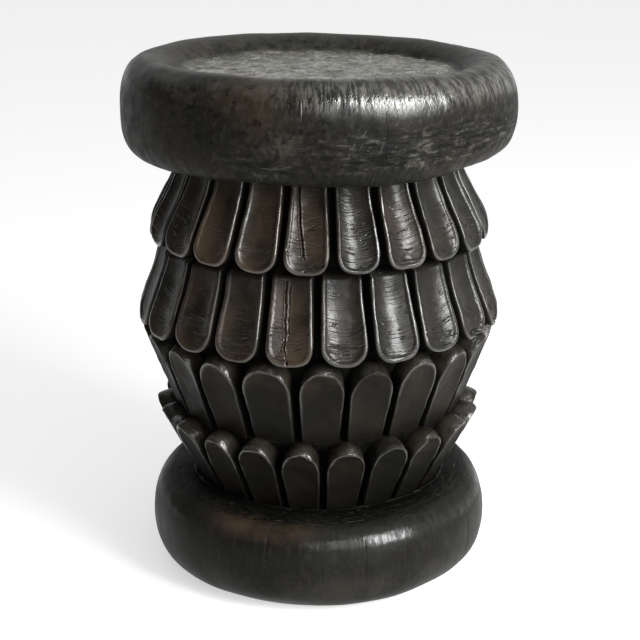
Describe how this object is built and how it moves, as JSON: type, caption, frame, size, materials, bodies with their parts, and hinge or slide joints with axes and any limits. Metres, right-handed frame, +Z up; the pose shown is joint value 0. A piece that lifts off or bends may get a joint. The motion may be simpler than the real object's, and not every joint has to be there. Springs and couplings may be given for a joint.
{
  "type": "carved round stool",
  "caption": "Carved round wooden stool: dished seat and thick base joined by rings of scooped hanging leaves and upright leaves, ebonised finish.",
  "frame": {"origin": "centre of the base's underside, on the floor", "axes": "+Z up along the stool's axis, front of the stool towards -Y"},
  "size_m": [0.334, 0.334, 0.45],
  "materials": {
    "seat_wood": "ebonised, hand-worn satin",
    "base_wood": "ebonised, hand-worn satin",
    "core_wood": "ebonised, matt in the recesses",
    "hanging_leaf_wood": "ebonised, worn to a sheen on the rims",
    "standing_leaf_wood": "ebonised satin"
  },
  "bodies": {
    "root": {"seat": "seat_wood", "core": "core_wood", "tier_1_leaf_01": "hanging_leaf_wood", "tier_1_leaf_02": "hanging_leaf_wood", "tier_1_leaf_03": "hanging_leaf_wood", "tier_1_leaf_04": "hanging_leaf_wood", "tier_1_leaf_05": "hanging_leaf_wood", "tier_1_leaf_06": "hanging_leaf_wood", "tier_1_leaf_07": "hanging_leaf_wood", "tier_1_leaf_08": "hanging_leaf_wood", "tier_1_leaf_09": "hanging_leaf_wood", "tier_1_leaf_10": "hanging_leaf_wood", "tier_1_leaf_11": "hanging_leaf_wood", "tier_1_leaf_12": "hanging_leaf_wood", "tier_1_leaf_13": "hanging_leaf_wood", "tier_1_leaf_14": "hanging_leaf_wood", "tier_1_leaf_15": "hanging_leaf_wood", "tier_1_leaf_16": "hanging_leaf_wood", "tier_1_leaf_17": "hanging_leaf_wood", "tier_1_leaf_18": "hanging_leaf_wood", "tier_1_leaf_19": "hanging_leaf_wood", "tier_1_leaf_20": "hanging_leaf_wood", "tier_1_leaf_21": "hanging_leaf_wood", "tier_1_leaf_22": "hanging_leaf_wood", "tier_2_leaf_01": "hanging_leaf_wood", "tier_2_leaf_02": "hanging_leaf_wood", "tier_2_leaf_03": "hanging_leaf_wood", "tier_2_leaf_04": "hanging_leaf_wood", "tier_2_leaf_05": "hanging_leaf_wood", "tier_2_leaf_06": "hanging_leaf_wood", "tier_2_leaf_07": "hanging_leaf_wood", "tier_2_leaf_08": "hanging_leaf_wood", "tier_2_leaf_09": "hanging_leaf_wood", "tier_2_leaf_10": "hanging_leaf_wood", "tier_2_leaf_11": "hanging_leaf_wood", "tier_2_leaf_12": "hanging_leaf_wood", "tier_2_leaf_13": "hanging_leaf_wood", "tier_2_leaf_14": "hanging_leaf_wood", "tier_2_leaf_15": "hanging_leaf_wood", "tier_2_leaf_16": "hanging_leaf_wood", "tier_2_leaf_17": "hanging_leaf_wood", "tier_2_leaf_18": "hanging_leaf_wood", "tier_2_leaf_19": "hanging_leaf_wood", "tier_2_leaf_20": "hanging_leaf_wood", "tier_2_leaf_21": "hanging_leaf_wood", "tier_2_leaf_22": "hanging_leaf_wood", "tier_3_leaves": "standing_leaf_wood", "tier_4_leaves": "standing_leaf_wood", "base": "base_wood"}
  },
  "joints": []
}
